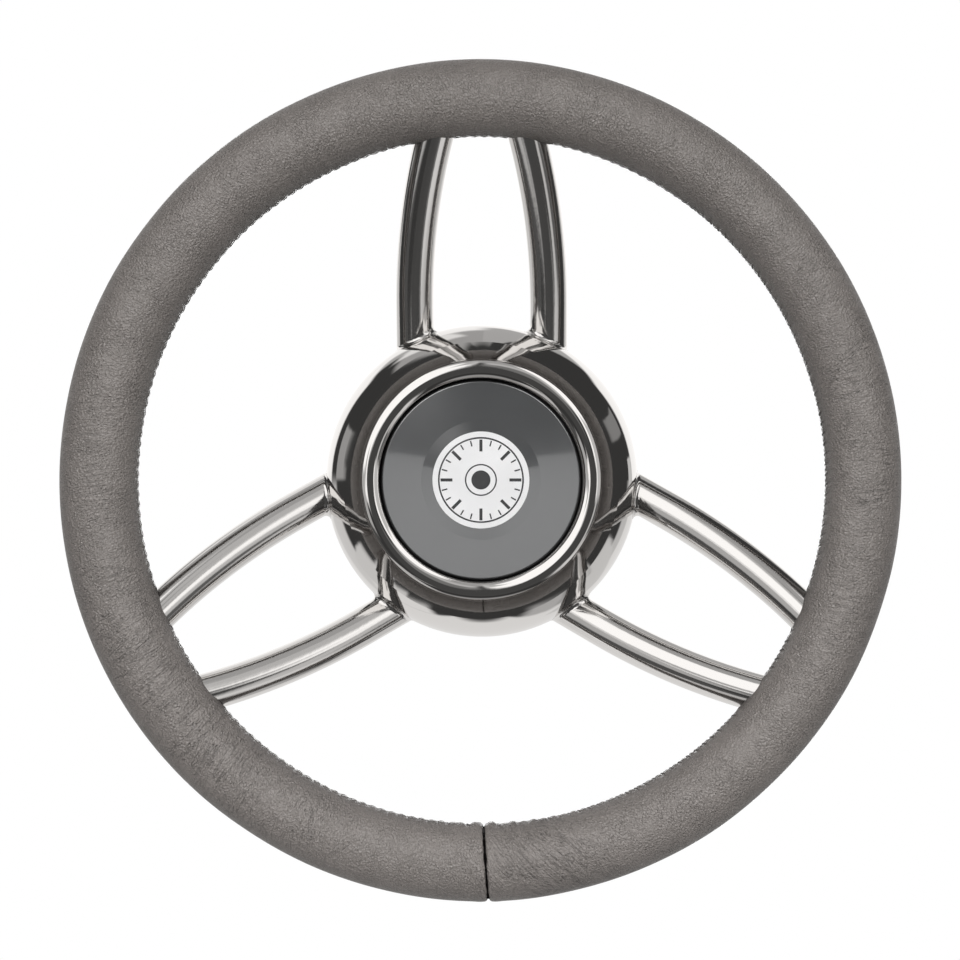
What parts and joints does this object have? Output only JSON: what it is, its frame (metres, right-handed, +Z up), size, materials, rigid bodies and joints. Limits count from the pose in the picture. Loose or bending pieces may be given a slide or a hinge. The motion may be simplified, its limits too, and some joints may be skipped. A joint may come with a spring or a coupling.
{
  "type": "boat steering wheel",
  "caption": "Boat steering wheel with a leather grip, paired bent stainless tubes for spokes, a polished bell hub with a tapered bore, and a round snap-in cap.",
  "frame": {"origin": "centre of the tapered bore's mouth, in the plane of the hub's rear edge", "axes": "+Y along the bore towards the dash and the shaft, so the face looks along -Y; +Z up, through the middle of the top pair of tubes; +X to the driver's right"},
  "size_m": [0.35, 0.078, 0.35],
  "materials": {
    "polished_stainless": "mirror-polished stainless steel",
    "plain_stainless": "turned and welded stainless steel, not polished",
    "grey_leather": "matte, fine grain",
    "thread": "matte",
    "grip_foam": "matte",
    "grey_cap_plastic": "gloss",
    "black_rubber": "satin",
    "pale_foil": "satin",
    "dark_ink": "matte",
    "clear_resin": "gloss"
  },
  "bodies": {
    "wheel": {"rim_core_ring": "plain_stainless", "rim_foam": "grip_foam", "rim_leather": "grey_leather", "rim_stitches": "thread", "spoke_top_left": "polished_stainless", "spoke_top_right": "polished_stainless", "spoke_left_upper": "polished_stainless", "spoke_left_lower": "polished_stainless", "spoke_right_upper": "polished_stainless", "spoke_right_lower": "polished_stainless", "hub_weld_top_left": "polished_stainless", "hub_weld_top_right": "polished_stainless", "hub_weld_left_upper": "polished_stainless", "hub_weld_left_lower": "polished_stainless", "hub_weld_right_upper": "polished_stainless", "hub_weld_right_lower": "polished_stainless", "rim_welds": "plain_stainless", "hub_shell": "polished_stainless", "hub_web": "plain_stainless", "shaft_boss": "plain_stainless", "bezel_ring": "polished_stainless"},
    "cap": {"centre_cap": "grey_cap_plastic", "cap_o_ring": "black_rubber", "badge_foil": "pale_foil", "badge_print": "dark_ink", "badge_dome": "clear_resin"}
  },
  "joints": [
    {"name": "cap_pull", "type": "slide", "parent": "wheel", "child": "cap", "axis": [0, -1, 0], "range_m": [0, 0.03]}
  ]
}
